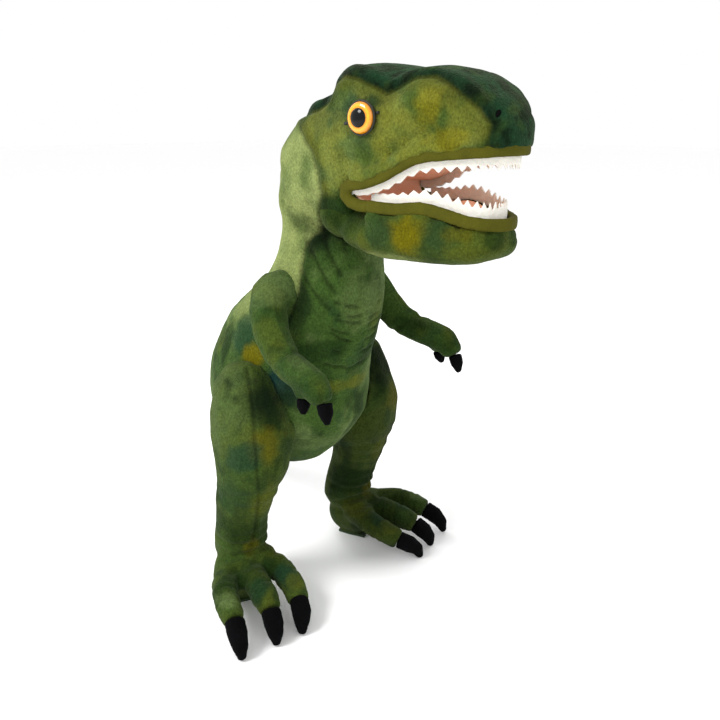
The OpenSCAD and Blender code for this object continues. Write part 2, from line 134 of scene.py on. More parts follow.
def make_stage():
    scene.view_settings.view_transform = "Standard"
    world = bpy.data.worlds.new("studio")
    world.use_nodes = True
    background = world.node_tree.nodes["Background"]
    background.inputs["Color"].default_value = (1, 1, 1, 1)
    background.inputs["Strength"].default_value = 1.0
    scene.world = world
    make_light("key", (-1.6, 0.35, 1.7), 0.8, 36)
    make_light("front", (-0.5, -1.9, 1.0), 1.2, 5)
    make_light("rim", (0.6, 1.5, 1.3), 0.9, 8)
    bm = bmesh.new()
    bmesh.ops.create_grid(bm, x_segments=8, y_segments=8, size=FLOOR_SIZE)
    floor = add_object("floor", bm)
    floor.location.z = FLOOR_Z
    white = plain("floor_paint", (0.99, 0.99, 0.99), 0.8, grain=900, bump=0.02, spread=0.004)
    floor.data.materials.append(white)


# ---- Mesh helpers ---------------------------------------------------------------------

def add_object(name, bm):
    mesh = bpy.data.meshes.new(name)
    bm.to_mesh(mesh)
    bm.free()
    obj = bpy.data.objects.new(name, mesh)
    scene.collection.objects.link(obj)
    return obj


def copied(*nodes):
    """A bmesh that holds copies of CAD nodes."""
    bm = bmesh.new()
    for node in nodes:
        bm.from_mesh(frame["nodes"][node].data)
    return bm


def add_copy(bm, node, shift, grow):
    """Adds a copy of a CAD node, moved by shift millimetres and grown across the toy."""
    part = copied(node)
    part.transform(Matrix.Translation(Vector(shift) * MM) @ Matrix.Diagonal((grow, 1, 1, 1)))
    mesh = bpy.data.meshes.new("part")
    part.to_mesh(mesh)
    part.free()
    bm.from_mesh(mesh)
    bpy.data.meshes.remove(mesh)


def add_ball(bm, centre, radii):
    """Adds an ellipsoid, radii in millimetres, for the remesh to fuse with the rest."""
    place = Matrix.Translation(centre) @ Matrix.Diagonal((*(r * MM for r in radii), 1))
    bmesh.ops.create_icosphere(bm, subdivisions=3, radius=1, matrix=place)


def add_modifier(obj, kind, **settings):
    modifier = obj.modifiers.new(kind.lower(), kind)
    for key, value in settings.items():
        setattr(modifier, key, value)
    return modifier


def bake_modifiers(obj):
    """Turns the object's modifiers into its mesh."""
    graph = bpy.context.evaluated_depsgraph_get()
    mesh = bpy.data.meshes.new_from_object(obj.evaluated_get(graph))
    obj.modifiers.clear()
    obj.data = mesh


def keep_largest(obj):
    """Drops every loose part but the one with the largest box."""
    bm = bmesh.new()
    bm.from_mesh(obj.data)
    bm.verts.ensure_lookup_table()
    seen, parts = set(), []
    for start in bm.verts:
        if start.index in seen:
            continue
        part, stack = [], [start]
        seen.add(start.index)
        while stack:
            vert = stack.pop()
            part.append(vert)
            for edge in vert.link_edges:
                other = edge.other_vert(vert)
                if other.index not in seen:
                    seen.add(other.index)
                    stack.append(other)
        parts.append(part)
    parts.sort(key=len)
    for part in parts[:-1]:
        bmesh.ops.delete(bm, geom=part, context="VERTS")
    bm.to_mesh(obj.data)
    bm.free()


def fused(name, bm, voxel_mm, smooth):
    """One closed skin round everything in the bmesh."""
    obj = add_object(name, bm)
    add_modifier(obj, "REMESH", mode="VOXEL", voxel_size=voxel_mm * MM, adaptivity=0)
    add_modifier(obj, "SMOOTH", factor=0.5, iterations=smooth)
    bake_modifiers(obj)
    keep_largest(obj)
    return obj


def shade_smooth(obj):
    for face in obj.data.polygons:
        face.use_smooth = True


def subdivided(obj, levels=1):
    add_modifier(obj, "SUBSURF", levels=levels, render_levels=levels)
    bake_modifiers(obj)
    shade_smooth(obj)
    return obj


def points(obj):
    co = np.zeros(len(obj.data.vertices) * 3)
    obj.data.vertices.foreach_get("co", co)
    return co.reshape(-1, 3)


def set_points(obj, co):
    obj.data.vertices.foreach_set("co", co.astype(np.float32).ravel())
    obj.data.update()


def normals(obj):
    n = np.zeros(len(obj.data.vertices) * 3)
    obj.data.vertex_normals.foreach_get("vector", n)
    return n.reshape(-1, 3)


def push(obj, amount_mm):
    """Moves each point along its normal."""
    set_points(obj, points(obj) + normals(obj) * (amount_mm * MM)[:, None])


def noise_field(co, scale_mm, seed, octaves):
    """Smooth noise from about -1 to 1, with features of that size."""
    shift = Vector((seed * 3.7, seed * -1.9, seed * 5.3))
    scale = 1 / (scale_mm * MM)
    return np.array([noise.fractal(Vector(p) * scale + shift, 1.0, 2.0, octaves) for p in co])


def smooth_step(x, low, high):
    t = np.clip((x - low) / (high - low), 0, 1)
    return t * t * (3 - 2 * t)


def distance_to(co, *nodes):
    """Distance in millimetres from each point to some CAD nodes."""
    bm = copied(*nodes)
    tree = BVHTree.FromBMesh(bm)
    bm.free()
    return np.array([tree.find_nearest(Vector(p))[3] for p in co]) / MM


def distance_to_line(co, line):
    """Distance in millimetres from each point to a line through some points."""
    best = np.full(len(co), 1e9)
    for a, b in zip(line[:-1], line[1:]):
        a, d = np.array(a), np.array(b) - np.array(a)
        t = np.clip(((co - a) @ d) / max(d @ d, 1e-12), 0, 1)
        gap = np.linalg.norm(co - a - t[:, None] * d, axis=1)
        best = np.minimum(best, gap)
    return best / MM


def side_of(co, line):
    """Seen from the side, each point's distance in millimetres from a line, which is more than
    0 above it. The line is y, z offsets in millimetres from the neck's pivot, rear end first."""
    flat = (co[:, 1:] - np.array(NECK)[1:]) / MM
    best = np.full(len(co), 1e9)
    side = np.ones(len(co))
    for a, b in zip(line[:-1], line[1:]):
        a, d = np.array(a, float), np.array(b, float) - np.array(a, float)
        t = np.clip(((flat - a) @ d) / (d @ d), 0, 1)
        away = flat - a - t[:, None] * d
        gap = np.linalg.norm(away, axis=1)
        nearer = gap < best - 1e-6
        turn = -(d[0] * away[:, 1] - d[1] * away[:, 0])
        side[nearer] = np.where(turn[nearer] >= 0, 1, -1)
        best = np.minimum(best, gap)
    return best * side


def laid(obj, line):
    """The line, laid onto the skin."""
    bm = bmesh.new()
    bm.from_mesh(obj.data)
    tree = BVHTree.FromBMesh(bm)
    bm.free()
    path = []
    for a, b in zip(line[:-1], line[1:]):
        count = max(1, round((b - a).length / (4 * MM)))
        path += [tree.find_nearest(a.lerp(b, k / count))[0] for k in range(count)]
    return path + [tree.find_nearest(line[-1])[0]]


def bell(x, width):
    return np.exp(-((x / width) ** 2))


# ---- Soft shaping ---------------------------------------------------------------------

# Heights and widths in this section are in millimetres
CLOTH_FRAMES = 20
PILE_RELIEF = 0.22

def inflate(obj, pinned, pressure, cap_mm):
    """Blows the skin up as cloth held at its seams. No point moves further than the cap."""
    rest = points(obj)
    held = obj.vertex_groups.new(name="sewn")
    held.add([int(i) for i in np.nonzero(pinned)[0]], 1.0, "REPLACE")
    cloth = obj.modifiers.new("cloth", "CLOTH")
    cloth.settings.quality = 4
    cloth.settings.mass = 0.3
    cloth.settings.tension_stiffness = 12
    cloth.settings.compression_stiffness = 8
    cloth.settings.shear_stiffness = 4
    cloth.settings.bending_stiffness = 0.6
    cloth.settings.vertex_group_mass = "sewn"
    cloth.settings.use_pressure = True
    cloth.settings.uniform_pressure_force = pressure
    cloth.settings.effector_weights.gravity = 0
    cloth.collision_settings.use_collision = False
    cloth.point_cache.frame_start = 1
    cloth.point_cache.frame_end = CLOTH_FRAMES
    for number in range(1, CLOTH_FRAMES + 1):
        scene.frame_set(number)
    graph = bpy.context.evaluated_depsgraph_get()
    blown = np.zeros(len(rest) * 3)
    obj.evaluated_get(graph).data.vertices.foreach_get("co", blown)
    move = blown.reshape(-1, 3) - rest
    length = np.linalg.norm(move, axis=1)
    move *= np.minimum(1, cap_mm * MM / np.maximum(length, 1e-9))[:, None]
    obj.modifiers.remove(cloth)
    obj.vertex_groups.clear()
    set_points(obj, rest + move)
    scene.frame_set(1)


def crease(obj, distance, width, depth, roll=0.35):
    """A sewn or folded line: a groove with a soft roll along each side."""
    groove = -depth * bell(distance, width)
    sides = depth * roll * bell(distance - 2.6 * width, 1.3 * width)
    push(obj, groove + sides)


def bulge(obj, centre, radii, height):
    """A soft mound, or a hollow if its height is negative. Sizes in millimetres."""
    away = (points(obj) - np.array(centre)) / (np.array(radii) * MM)
    push(obj, height * np.exp(-(away ** 2).sum(1)))


def pile(obj, seed):
    """The unevenness of pile over a filling, as low relief. The tufts are in the material."""
    co = points(obj)
    push(obj, PILE_RELIEF * (0.5 * noise_field(co, 4.5, seed, 2) + noise_field(co, 11, seed + 4, 1)))


# ---- Colour ---------------------------------------------------------------------------

def linear(r, g, b):
    """A linear colour from screen values of 0 to 255."""
    return np.array([((c / 255 + 0.055) / 1.055) ** 2.4 if c > 10 else c / 3294.6 for c in (r, g, b)])


# Deeper than the cloth looks, because the light and the pile's sheen lift it
DEPTH = 0.5
# Tones of the dyes, also used for painted shade in some smudges
TONES = {
    "light": linear(180, 194, 116),
    "sage": linear(122, 146, 84),
    "leaf": linear(74, 104, 44),
    "moss": linear(84, 104, 40),
    "olive": linear(112, 120, 34),
    "straw": linear(166, 166, 60),
    "mustard": linear(132, 124, 8),
    "teal": linear(40, 78, 52),
    "pine": linear(34, 72, 44),
    "blue": linear(22, 62, 62),
    "deep": linear(34, 62, 20),
    "night": linear(16, 38, 18),
}
TONES = {name: tone * DEPTH for name, tone in TONES.items()}
# The dye's patches run down the cloth, so they are longer along Z
STREAK = np.array((1, 1, 0.7))


def dye_and_shade(obj, base, light, dark, seed, smudges, seams=None, even=0.0, depth=1.0):
    """Paints the tie-dyed colour of a skin and some painted shade: soft patches of lighter and
    darker dyes over the base, and smudges, which are mostly airbrushed dyes and in some places
    painted shade. A smudge is (place, radii in millimetres, tone, strength). The seams argument
    holds distances in millimetres to seams and folds, and painted shade darkens the cloth close
    to them. An even skin has fainter patches, and depth scales the whole."""
    co = points(obj)
    stretched = co * STREAK
    colour = np.tile(TONES[base], (len(co), 1))
    calm = 1 - np.broadcast_to(even, (len(co), 1))[:, 0]
    lighter = smooth_step(noise_field(stretched, 34, seed, 3), 0.0, 0.55) * calm
    darker = smooth_step(noise_field(stretched, 27, seed + 11, 3), 0.05, 0.6) * calm
    gold = smooth_step(noise_field(stretched, 42, seed + 23, 2), 0.18, 0.6) * calm
    green = smooth_step(noise_field(stretched, 19, seed + 29, 3), 0.1, 0.6) * calm
    colour += (TONES[light] - colour) * lighter[:, None] * 0.75
    colour += (TONES["olive"] - colour) * gold[:, None] * 0.45
    colour += (TONES["pine"] - colour) * green[:, None] * 0.4
    colour += (TONES[dark] - colour) * darker[:, None] * 0.9
    ragged = 1 + 0.35 * noise_field(co, 12, seed + 31, 3) + 0.4 * noise_field(co, 30, seed + 37, 2)
    for place, radii, name, strength in smudges:
        away = (co - np.array(place)) / (np.array(radii) * MM)
        amount = strength * (1 - smooth_step(np.linalg.norm(away, axis=1) * ragged, 0.5, 1.2))
        colour += (TONES[name] - colour) * amount[:, None]
    fine = depth * (1 + 0.14 * noise_field(co, 5, seed + 41, 2))
    colour *= fine[:, None]
    # Painted shade: the cloth is darkened close to seams and folds, where shade falls
    if seams is not None:
        colour *= (1 - 0.5 * bell(seams, 1.4))[:, None]
    save_attributes(obj, colour)


def save_attributes(obj, colour):
    """Stores the dyed colour with its painted shade, and the place at rest, which the pile's
    grain follows when the skin bends.
    """
    paint = obj.data.attributes.new("dye_and_shade", "FLOAT_COLOR", "POINT")
    opaque = np.c_[np.clip(colour, 0.001, 1), np.ones(len(colour))]
    paint.data.foreach_set("color", opaque.astype(np.float32).ravel())
    rest = obj.data.attributes.new("rest", "FLOAT_VECTOR", "POINT")
    rest.data.foreach_set("vector", points(obj).astype(np.float32).ravel())


# ---- Materials ------------------------------------------------------------------------

def new_material(name):
    material = bpy.data.materials.new(name)
    material.use_nodes = True
    tree = material.node_tree
    return material, tree, tree.nodes["Principled BSDF"]


def noise_node(tree, vector, scale, detail, stretch=None):
    if stretch:
        mapping = tree.nodes.new("ShaderNodeMapping")
        mapping.inputs["Scale"].default_value = stretch
        tree.links.new(vector, mapping.inputs["Vector"])
        vector = mapping.outputs["Vector"]
    node = tree.nodes.new("ShaderNodeTexNoise")
    node.inputs["Scale"].default_value = scale
    node.inputs["Detail"].default_value = detail
    tree.links.new(vector, node.inputs["Vector"])
    return node.outputs["Fac"]


def ranged(tree, value, low, high, source=(0.3, 0.7)):
    node = tree.nodes.new("ShaderNodeMapRange")
    node.inputs["From Min"].default_value = source[0]
    node.inputs["From Max"].default_value = source[1]
    node.inputs["To Min"].default_value = low
    node.inputs["To Max"].default_value = high
    tree.links.new(value, node.inputs["Value"])
    return node.outputs["Result"]


def scaled_colour(tree, colour, amount):
    """The colour times an amount."""
    node = tree.nodes.new("ShaderNodeVectorMath")
    node.operation = "SCALE"
    tree.links.new(colour, node.inputs[0])
    tree.links.new(amount, node.inputs["Scale"])
    return node.outputs["Vector"]


def bumped(tree, shader, height, strength, distance_mm, under=None):
    node = tree.nodes.new("ShaderNodeBump")
    node.inputs["Strength"].default_value = strength
    node.inputs["Distance"].default_value = distance_mm * MM
    tree.links.new(height, node.inputs["Height"])
    if under:
        tree.links.new(under, node.inputs["Normal"])
    tree.links.new(node.outputs["Normal"], shader.inputs["Normal"])
    return node.outputs["Normal"]


def plush_material(name):
    """Short pile: dyed colour and painted shade broken up by tufts, a soft sheen, and a napped bump."""
    material, tree, shader = new_material(name)
    paint = tree.nodes.new("ShaderNodeAttribute")
    paint.attribute_name = "dye_and_shade"
    rest = tree.nodes.new("ShaderNodeAttribute")
    rest.attribute_name = "rest"
    place = rest.outputs["Vector"]
    tufts = noise_node(tree, place, 520, 4)
    nap = noise_node(tree, place, 1300, 2, stretch=(1, 1, 0.4))
    both = tree.nodes.new("ShaderNodeMath")
    both.operation = "MULTIPLY"
    tree.links.new(ranged(tree, tufts, 0.76, 1.24), both.inputs[0])
    tree.links.new(ranged(tree, nap, 0.82, 1.18), both.inputs[1])
    broken = scaled_colour(tree, paint.outputs["Color"], both.outputs[0])
    tree.links.new(broken, shader.inputs["Base Color"])
    tree.links.new(ranged(tree, tufts, 0.98, 0.8), shader.inputs["Roughness"])
    shader.inputs["Specular IOR Level"].default_value = 0.05
    shader.inputs["Sheen Weight"].default_value = 0.08
    shader.inputs["Sheen Roughness"].default_value = 0.45
    shader.inputs["Sheen Tint"].default_value = (0.72, 0.85, 0.5, 1)
    under = bumped(tree, shader, tufts, 0.9, 1.3)
    bumped(tree, shader, nap, 0.5, 0.5, under)
    return material


def plain(name, colour, roughness, grain, bump, spread=0.12, sheen=0.0, specular=0.5,
          stretch=None, subsurface=0.0):
    """Cloth, felt or plastic of one colour, with a grain in its colour, gloss and relief."""
    material, tree, shader = new_material(name)
    where = tree.nodes.new("ShaderNodeTexCoord").outputs["Object"]
    fine = noise_node(tree, where, grain, 3, stretch)
    broad = noise_node(tree, where, grain * 0.06, 2)
    tone = tree.nodes.new("ShaderNodeMath")
    tone.operation = "MULTIPLY"
    tree.links.new(ranged(tree, fine, 1 - spread, 1 + spread), tone.inputs[0])
    tree.links.new(ranged(tree, broad, 1 - spread, 1 + spread * 0.6), tone.inputs[1])
    tint = tree.nodes.new("ShaderNodeRGB")
    tint.outputs[0].default_value = (*colour, 1)
    tree.links.new(scaled_colour(tree, tint.outputs[0], tone.outputs[0]), shader.inputs["Base Color"])
    gloss = ranged(tree, fine, min(1, roughness + 0.06), max(0.02, roughness - 0.06))
    tree.links.new(gloss, shader.inputs["Roughness"])
    shader.inputs["Specular IOR Level"].default_value = specular
    shader.inputs["Sheen Weight"].default_value = sheen
    shader.inputs["Sheen Roughness"].default_value = 0.4
    shader.inputs["Subsurface Weight"].default_value = subsurface
    shader.inputs["Subsurface Radius"].default_value = (0.004, 0.002, 0.001)
    if bump:
        bumped(tree, shader, fine, bump, 0.4)
    return material


def finish_skin(obj, material, replaced):
    obj.data.materials.clear()
    obj.data.materials.append(material)
    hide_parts(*replaced)


# ---- Plush skins ----------------------------------------------------------------------

TORSO_PANELS = ("back_panel", "torso_side_left", "torso_side_right", "belly_panel")
HEAD_NODES = ("crown_panel", "cheek_left", "cheek_right", "head_stuffing")

# The lower edge of the crown in side view, as y, z offsets in millimetres from the neck's pivot
CROWN_EDGE = (
    (60, 46), (-7, 56), (-37, 60), (-50, 66), (-52, 74), (-57, 81), (-66, 84), (-79, 82), (-91, 77),
    (-104, 71), (-116, 76), (-128, 81), (-142, 82), (-154, 77), (-165, 70), (-178, 60), (-184, 50),
    (-183, 20),
)
# The seam between the pale nape and the head and throat, from the crown down to the shoulder
NAPE_EDGE = (
    (-7, 70), (-7, 55), (-24, 43), (-38, 30), (-45, 15), (-46, -2), (-32, -24), (-20, -50), (-17, -84),
    (-8, -110),
)


def seam_distance(co, *panels):
    """Distance in millimetres from each point to the nearest seam between two panels."""
    gaps = np.sort(np.array([distance_to(co, panel) for panel in panels]), axis=0)
    return gaps[1] - gaps[0]


# Belly folds as heights in millimetres from the neck's pivot and how far their ends rise
BELLY_FOLDS = ((-98, 7), (-108, 12), (-114, 15), (-123, 9), (-131, 16), (-142, 11), (-155, 8))
# Neck folds in side view, as y, z offsets in millimetres from the neck's pivot
NECK_FOLDS = (
    ((-26, -10), (-40, -26), (-48, -50)),
    ((-22, -26), (-36, -44), (-47, -68)),
    ((-19, -40), (-30, -56), (-44, -84)),
    ((-15, -62), (-26, -78), (-40, -98)),
)


def make_trunk():
    """Body, neck and head: one skin of sewn panels, which bends at the neck."""
    trunk = trunk_blank()
    shape_head(trunk)
    co = points(trunk)
    edge = side_of(co, CROWN_EDGE)
    push(trunk, crown_roll(co, edge))
    nape = -side_of(co, NAPE_EDGE)
    across = smooth_step(np.abs(co[:, 0]) / MM, 12, 22) * smooth_step(height(co), -125, -95)
    seam = 0.9 * bell(nape - 3.4, 2.6) + 0.5 * bell(nape + 3.4, 2.6) - 1.5 * bell(nape, 1.4)
    push(trunk, seam * across * (edge < 0))

    co = points(trunk)
    crease(trunk, torso_seams(co, -60), 1.6, 0.3)
    folds = fold_distance(points(trunk), normals(trunk))
    crease(trunk, folds, 1.7, 1.2)
    push(trunk, 0.8 * noise_field(points(trunk), 26, 2, 2))
    sink(trunk, 1, 32, 2.2)
    pile(trunk, 1)
    # The head's dye is calmer than the body's
    calm = 0.35 * smooth_step(height(co), -20, 20)[:, None]
    # Painted shade darkens the cloth along the belly and neck folds
    dye_and_shade(trunk, "leaf", "sage", "deep", 3, trunk_smudges(), seams=folds, even=calm)
    paint_panels(trunk, edge, nape, across)
    replaced = (*TORSO_PANELS, "torso_stuffing", *HEAD_NODES)
    finish_skin(trunk, plush_material("plush_trunk"), replaced)
    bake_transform(trunk)
    return trunk


def height(co):
    """Height in millimetres above the neck's pivot."""
    return (co[:, 2] - NECK.z) / MM


def torso_seams(co, top):
    """Distance in millimetres to the body's panel seams that are lower than top."""
    return np.where(co[:, 2] < NECK.z + top * MM, seam_distance(co, *TORSO_PANELS), 99)


def trunk_blank():
    """The stuffed shape, before its seams, folds and panels are worked in."""
    bm = copied(*TORSO_PANELS, "torso_stuffing", *HEAD_NODES)
    # Cloth over the upper lip's band, the neck's hinge gap and the cheeks behind the mouth
    add_copy(bm, "upper_lip", (0, -1.0, 5.5), 1.04)
    add_ball(bm, off(NECK, 0, -6, -8), (44, 46, 43))
    for _, side in SIDES:
        add_ball(bm, off(JAW, 33.5, 14, 9, side), (14.5, 16, 16))
        add_ball(bm, off(JAW, 38, -8, 17, side), (6, 13, 9))
        add_ball(bm, off(JAW, 37, -24, 22, side), (5, 14, 8))
    trunk = fused("trunk_skin", bm, 3.2, 5)
    co = points(trunk)
    head_seam = np.where(np.abs(co[:, 0]) > 14 * MM, np.abs(side_of(co, NAPE_EDGE)), 99)
    mouth_edge = distance_to(co, "upper_lip")
    inflate(trunk, (torso_seams(co, -40) < 2.5) | (head_seam < 2) | (mouth_edge < 3), 3, 2.5)
    return subdivided(trunk)


def shape_head(trunk):
    """Brows, cheeks, eye sockets, nostrils and the hollow behind the brows."""
    for name, side in SIDES:
        bulge(trunk, off(NECK, 40, -70, 78, side), (14, 20, 10), 4)
        bulge(trunk, off(NECK, 42, -104, 74, side), (14, 12, 10), -3)
        bulge(trunk, off(NECK, 40, -42, 76, side), (18, 9, 12), -8)
        bulge(trunk, off(NECK, 32, 30, 12, side), (26, 26, 36), -3.5)
        bulge(trunk, off(EYE[name], 0, 2, 0), (12, 19, 19), -1.6)
        bulge(trunk, nostril_place(side), (5, 5, 6), -2)
    bulge(trunk, off(NECK, 0, -26, 76), (34, 16, 14), -5)
    bulge(trunk, off(NECK, 0, -72, 92), (44, 22, 10), 2.5)


def crown_roll(co, edge):
    """The crown's edge stands out as a soft roll, over a groove along its seam."""
    outer = smooth_step(np.abs(co[:, 0]) / MM, 16, 30)
    nose = smooth_step(-(co[:, 1] - NECK.y) / MM, 168, 178)
    on_head = smooth_step(height(co), -6, 8)
    profile = 2.8 * bell(edge - 4.5, 3.6) - 1.5 * bell(edge + 0.8, 1.5)
    return profile * np.maximum(outer, nose * 0.4) * on_head


def fold_distance(co, n):
    """Distance in millimetres to the nearest fine fold, across the belly or down the neck."""
    x, z = co[:, 0] / MM, height(co)
    wave = 1.6 * np.sin(x / 6) + 0.9 * np.sin(x / 2.7 + 1)
    best = np.full(len(co), 99.0)
    for drop, bend in BELLY_FOLDS:
        best = np.minimum(best, np.abs(z - drop - bend * (x / 40) ** 2 - wave * math.sin(drop)))
    best += 30 * smooth_step(n[:, 1], -0.45, -0.1) + 12 * smooth_step(np.abs(x + 8), 20, 44)
    best += 3 * smooth_step(noise_field(co, 16, 7, 2), 0.0, 0.5)
    for line in NECK_FOLDS:
        gap = np.abs(side_of(co, line)) + 8 * (1 - smooth_step(np.abs(co[:, 0]) / MM, 8, 16))
        best = np.minimum(best, gap)
    return best


def sink(obj, way, half_mm, depth):
    """Draws back the cloth behind the mouth's linings: up if way is 1, down if it is -1."""
    co, n = points(obj), normals(obj)
    inside = (n[:, 2] * way < -0.35) & (np.abs(co[:, 0]) < half_mm * MM) & (co[:, 1] < JAW.y + 4 * MM)
    inside &= co[:, 1] > JAW.y - 92 * MM
    inside &= np.abs(co[:, 2] - JAW.z) < 34 * MM
    co[inside, 2] += way * depth * MM
    set_points(obj, co)


def nostril_place(side):
    low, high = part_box("nostrils")
    return Vector((high.x * side - 1.5 * MM * side, (low.y + high.y) / 2, (low.z + high.z) / 2))


def trunk_smudges():
    spots = [
        # Body: pale shoulders and back, dark flanks and a gold patch over each hip
        ((39, 34, -84), (26, 30, 30), "sage", 0.7),
        ((45, 52, -104), (16, 22, 26), "light", 0.5),
        ((60, 42, -130), (12, 16, 24), "teal", 0.75),
        ((66, 24, -146), (11, 13, 11), "mustard", 0.9),
        ((58, -2, -168), (16, 26, 22), "blue", 0.85),
        ((62, 8, -186), (20, 26, 14), "deep", 0.7),
        ((45, -20, -91), (9, 10, 22), "night", 0.7),
        ((31, -34, -136), (26, 16, 12), "deep", 0.75),
        ((12, -51, -92), (22, 12, 24), "sage", 0.45),
        ((14, -36, -174), (30, 14, 8), "olive", 0.6),
        ((29, -7, -232), (30, 26, 14), "sage", 0.45),
        # Neck: painted shade under the jaw and down the throat, lighter low down, and painted shade in
        # the groin
        ((30, -26, -34), (26, 20, 16), "deep", 0.8),
        ((36, -30, -40), (22, 18, 22), "night", 0.75),
        ((56, -20, -178), (18, 22, 20), "night", 0.5),
        ((32, -39, -57), (22, 20, 10), "leaf", 0.6),
        ((0, -46, -28), (30, 20, 18), "night", 0.7),
        # Head
        ((47, -90, 56), (14, 24, 22), "teal", 0.9),
        # Painted shadow under the notch in the crown's edge
        ((44, -104, 62), (14, 14, 12), "deep", 0.6),
        ((49, -52, 50), (14, 20, 12), "teal", 0.7),
        ((46, -70, 80), (12, 14, 9), "olive", 0.5),
        ((46, -60, 14), (14, 26, 16), "sage", 0.45),
        ((44, -110, 44), (14, 16, 20), "olive", 0.5),
        ((41, -145, 64), (12, 12, 20), "mustard", 0.75),
        ((33, -160, 40), (14, 14, 12), "mustard", 0.8),
        ((37, -158, 64), (12, 9, 16), "deep", 0.55),
        ((44, -128, 74), (12, 14, 8), "leaf", 0.6),
        ((34, -120, 26), (14, 22, 7), "olive", 0.5),
        # Under the cheek's lower edge, painted shade as dark as the jaw
        ((40, -46, -14), (18, 26, 16), "deep", 0.8),
    ]
    sockets = [(EYE[name], (12, 17, 16), "teal", 0.75) for name, _ in SIDES]
    return mirrored(NECK, spots) + sockets


def mirrored(origin, spots):
    """Smudges on both sides, from spots whose places are offsets from origin."""
    return [(off(origin, *place, side), radii, name, strength)
            for place, radii, name, strength in spots for _, side in SIDES]


def paint_panels(trunk, edge, nape, across):
    """Repaints the panels of other cloth: the dark crown, the olive cheeks and the pale nape,
    with painted shade along the nape's seam and under the crown's edge.
    """
    data = trunk.data.attributes["dye_and_shade"].data
    colour = np.zeros(len(data) * 4, np.float32)
    data.foreach_get("color", colour)
    colour = colour.reshape(-1, 4)
    co = points(trunk)
    high = height(co)
    crown_on = smooth_step(edge, -0.7, 0.9) * smooth_step(high, 6, 12)

    def lay(tone, amount):
        amount = amount[:, None]
        colour[:, :3] = colour[:, :3] * (1 - amount) + np.clip(tone, 0.002, 1) * amount

    cheek = smooth_step(-nape, -1, 1) * smooth_step(high, -8, 4) * (1 - crown_on)
    blotches = smooth_step(noise_field(co, 24, 91, 3), -0.3, 0.45)
    lay(TONES["straw"] * 0.9, cheek * (0.52 - 0.42 * blotches))
    # The nape is pale, and runs out over the shoulders
    patchy = 1 - 0.7 * smooth_step(noise_field(co, 24, 61, 3), -0.5, 0.8)
    back = smooth_step(nape, -1, 1) * smooth_step(high, -118, -60) * (1 - crown_on)
    lay(TONES["light"], back * patchy * 0.8)
    shade = np.maximum(bell(nape, 1.5) * across, 0.7 * bell(nape + 4, 4) * across) * (edge < -2)
    colour[:, :3] *= (1 - 0.55 * shade)[:, None]
    # The crown: bluish dark cloth, darkest along its rolled edge
    dark = smooth_step(noise_field(co, 13, 71, 3), -0.25, 0.5)[:, None]
    tone = TONES["pine"] * (1 - dark) + TONES["night"] * dark
    moss = smooth_step(noise_field(co, 17, 83, 2), 0.1, 0.6)[:, None]
    tone = tone * (1 - moss * 0.6) + TONES["leaf"] * 0.8 * moss * 0.6
    tone = tone * (1 + 0.3 * noise_field(co, 3.5, 77, 2))[:, None]
    tone = tone * (1 - 0.4 * bell(edge - 1, 3))[:, None]
    lay(tone, crown_on)
    # Painted shade under the crown's rolled edge: a dark line at the seam and a wider, fainter band on
    # the cheek below
    under_roll_shade = 0.5 * bell(edge + 0.6, 1.3) + 0.28 * bell(edge + 5, 5)
    colour[:, :3] *= (1 - under_roll_shade * smooth_step(high, 6, 12))[:, None]
    data.foreach_set("color", colour.ravel())


def make_jaw():
    bm = copied("jaw_skin", "jaw_stuffing")
    # Cloth under the lower lip's band, the hinge gap at the rear and the chin
    add_copy(bm, "lower_lip", (0, 1.5, -7), 1.02)
    add_ball(bm, off(JAW, 0, 0, -33), (44, 30, 18))
    add_ball(bm, off(JAW, 0, 28, -20), (43, 24, 25))
    add_ball(bm, off(JAW, 0, -111, -23), (17, 5, 6))
    jaw = fused("jaw_skin_plush", bm, 2.8, 5)
    inflate(jaw, points(jaw)[:, 2] > JAW.z - 12 * MM, 2, 2)
    subdivided(jaw)
    push(jaw, 0.6 * noise_field(points(jaw), 20, 21, 2))
    sink(jaw, -1, 30, 2.2)
    under_lip = ((47, -4, -10), (47, -16, -15), (44, -42, -17), (40, -64, -15), (36, -82, -18),
                 (28, -100, -22), (10, -115, -25))
    for _, side in SIDES:
        line = [off(JAW, *place, side) for place in under_lip]
        crease(jaw, distance_to_line(points(jaw), laid(jaw, line)), 1.4, 0.9)
    pile(jaw, 9)
    spots = (
        ((41, -54, -30), (14, 17, 18), "mustard", 0.95),
        ((44, -32, -30), (15, 15, 14), "pine", 0.55),
        ((42, -20, -20), (14, 12, 10), "leaf", 0.5),
        ((40, 10, -24), (16, 18, 16), "deep", 0.6),
        ((38, -30, -50), (20, 40, 7), "light", 0.55),
        ((37, -82, -28), (16, 17, 16), "pine", 0.5),
        ((31, -96, -40), (16, 16, 9), "olive", 0.5),
        ((15, -113, -28), (15, 10, 13), "deep", 0.7),
        ((30, -95, -24), (14, 12, 10), "mustard", 0.45),
    )
    dye_and_shade(jaw, "moss", "olive", "deep", 33, mirrored(JAW, spots), even=0.35, depth=0.88)
    finish_skin(jaw, plush_material("plush_jaw"), ("jaw_skin", "jaw_stuffing"))
    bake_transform(jaw)


